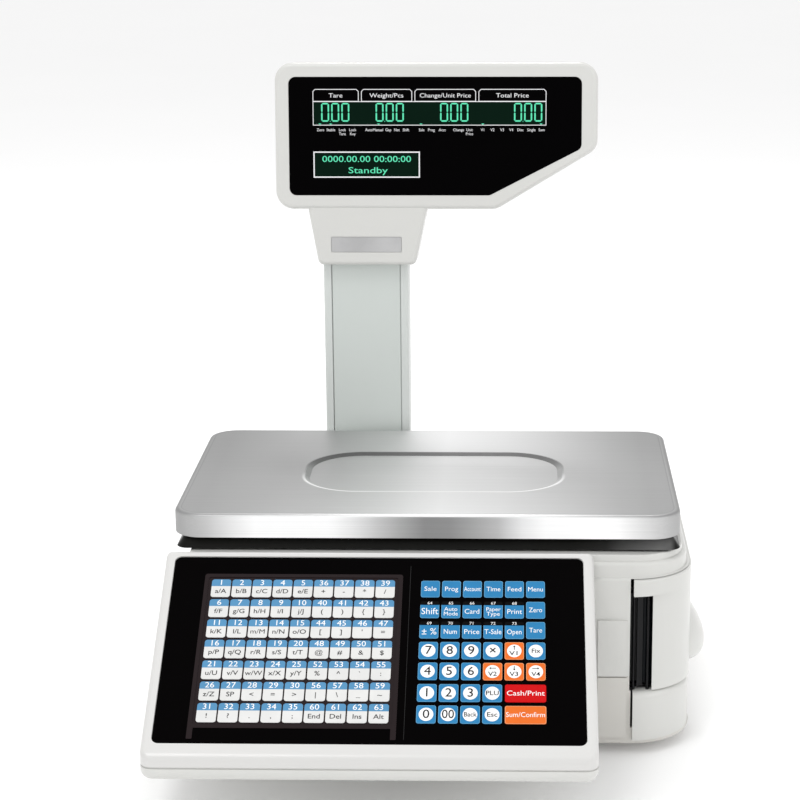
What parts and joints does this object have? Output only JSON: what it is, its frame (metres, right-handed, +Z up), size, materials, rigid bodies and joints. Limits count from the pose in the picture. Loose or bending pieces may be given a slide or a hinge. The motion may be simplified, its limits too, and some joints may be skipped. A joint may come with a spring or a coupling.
{
  "type": "label printing scale",
  "caption": "Counter label printing scale: sloping keyboard console, steel platter, display head on a rear pole and a side label printer behind a hinged door.",
  "frame": {"origin": "middle of the overall footprint at table level, under the levelling feet", "axes": "+Z up, the keyboard side faces -Y, the label printer door is on the +X side"},
  "size_m": [0.4072, 0.4654, 0.4954],
  "materials": {
    "alu": "satin",
    "badge": "satin",
    "bezel_brown": "satin",
    "black_plastic": "satin",
    "chassis_steel": "powder coat",
    "film": "gloss printed film",
    "key_blue": "gloss",
    "key_orange": "gloss",
    "key_red": "gloss",
    "key_white": "gloss",
    "lens": "gloss dark lens",
    "pcb": "solder mask",
    "pole_alu": "painted satin",
    "pole_strip": "satin",
    "psu": "folded sheet",
    "rubber": "matt",
    "shell": "fine satin moulding",
    "shell_lower": "fine satin moulding",
    "stainless": "brushed",
    "steel": "plated",
    "vial": "liquid"
  },
  "bodies": {
    "base": {"arrow_keys": "key_orange", "base_tray": "shell_lower", "bearing_pins": "steel", "board_screws": "steel", "chassis": "chassis_steel", "console_bottom_shell": "shell_lower", "console_top_shell": "shell", "display_boards": "pcb", "drive_belt": "rubber", "feed_motor": "chassis_steel", "front_lens": "lens", "function_keys": "key_blue", "guide_bars": "steel", "head_front_shell": "shell", "head_rear_shell": "shell", "housing_screws": "steel", "keypad_board": "pcb", "keypad_film": "film", "label_sensor": "black_plastic", "legend_frame": "bezel_brown", "load_cell": "alu", "load_cell_spacers": "alu", "machine_bolts": "steel", "main_board": "pcb", "neck_badge": "badge", "platen_bushings": "steel", "platter_buttons": "rubber", "platter_carrier": "black_plastic", "platter_spider": "alu", "plu_keys": "key_white", "pole": "pole_alu", "pole_bracket": "chassis_steel", "pole_strip": "pole_strip", "port_plate": "steel", "port_sockets": "black_plastic", "power_inlet": "black_plastic", "power_supply": "psu", "printer_corner_cover": "shell_lower", "printer_frame": "black_plastic", "rear_lens": "lens", "spirit_level_body": "black_plastic", "spirit_level_vial": "vial", "total_key": "key_red", "upper_housing": "shell"},
    "platter": {"platter": "stainless"},
    "door": {"printer_door": "shell"},
    "platen": {"platen_shaft": "steel", "platen_sleeve": "rubber", "platen_pulley": "black_plastic"},
    "feed_rotor": {"motor_pulley": "black_plastic"},
    "spindle": {"label_spindle": "black_plastic"},
    "takeup": {"liner_takeup": "black_plastic"},
    "head_carrier": {"print_head": "alu"},
    "lever": {"release_lever": "black_plastic"},
    "rocker": {"power_rocker": "black_plastic"},
    "foot_1": {"levelling_foot_1": "rubber"},
    "foot_2": {"levelling_foot_2": "rubber"},
    "foot_3": {"levelling_foot_3": "rubber"},
    "foot_4": {"levelling_foot_4": "rubber"}
  },
  "joints": [
    {"name": "platter_lift", "type": "slide", "parent": "base", "child": "platter", "axis": [0, 0, 1], "range_m": [0, 0.06]},
    {"name": "door_hinge", "type": "hinge", "parent": "base", "child": "door", "pos_m": [0.18703, 0.11376, 0.095], "axis": [0, 0, 1], "range_deg": [0, 100]},
    {"name": "platen_spin", "type": "hinge", "parent": "base", "child": "platen", "pos_m": [0.15403, -0.05724, 0.09], "axis": [0, 0, 1], "continuous": true},
    {"name": "motor_spin", "type": "hinge", "parent": "base", "child": "feed_rotor", "pos_m": [0.10303, -0.01524, 0.12], "axis": [0, 0, 1], "continuous": true},
    {"name": "spindle_spin", "type": "hinge", "parent": "base", "child": "spindle", "pos_m": [0.13703, 0.05976, 0.06], "axis": [0, 0, 1], "continuous": true},
    {"name": "takeup_spin", "type": "hinge", "parent": "base", "child": "takeup", "pos_m": [0.16703, -0.01924, 0.08], "axis": [0, 0, 1], "continuous": true},
    {"name": "head_pivot", "type": "hinge", "parent": "base", "child": "head_carrier", "pos_m": [0.12503, -0.04324, 0.09], "axis": [0, 0, -1], "range_deg": [0, 6]},
    {"name": "lever_pivot", "type": "hinge", "parent": "base", "child": "lever", "pos_m": [0.12703, -0.05424, 0.131], "axis": [0, 0, -1], "range_deg": [0, 45]},
    {"name": "power_rock", "type": "hinge", "parent": "base", "child": "rocker", "pos_m": [-0.13097, 0.22276, 0.032], "axis": [1, 0, 0], "range_deg": [0, 10]},
    {"name": "foot_1_turn", "type": "hinge", "parent": "base", "child": "foot_1", "pos_m": [-0.15897, -0.02924, 0.01], "axis": [0, 0, 1], "continuous": true},
    {"name": "foot_2_turn", "type": "hinge", "parent": "base", "child": "foot_2", "pos_m": [0.13903, -0.02524, 0.01], "axis": [0, 0, 1], "continuous": true},
    {"name": "foot_3_turn", "type": "hinge", "parent": "base", "child": "foot_3", "pos_m": [-0.15897, 0.18876, 0.01], "axis": [0, 0, 1], "continuous": true},
    {"name": "foot_4_turn", "type": "hinge", "parent": "base", "child": "foot_4", "pos_m": [0.15503, 0.18876, 0.01], "axis": [0, 0, 1], "continuous": true}
  ],
  "couplings": [
    {"joint": "motor_spin", "follows": "platen_spin", "ratio": 1.354},
    {"joint": "head_pivot", "follows": "lever_pivot", "ratio": 0.13333}
  ]
}
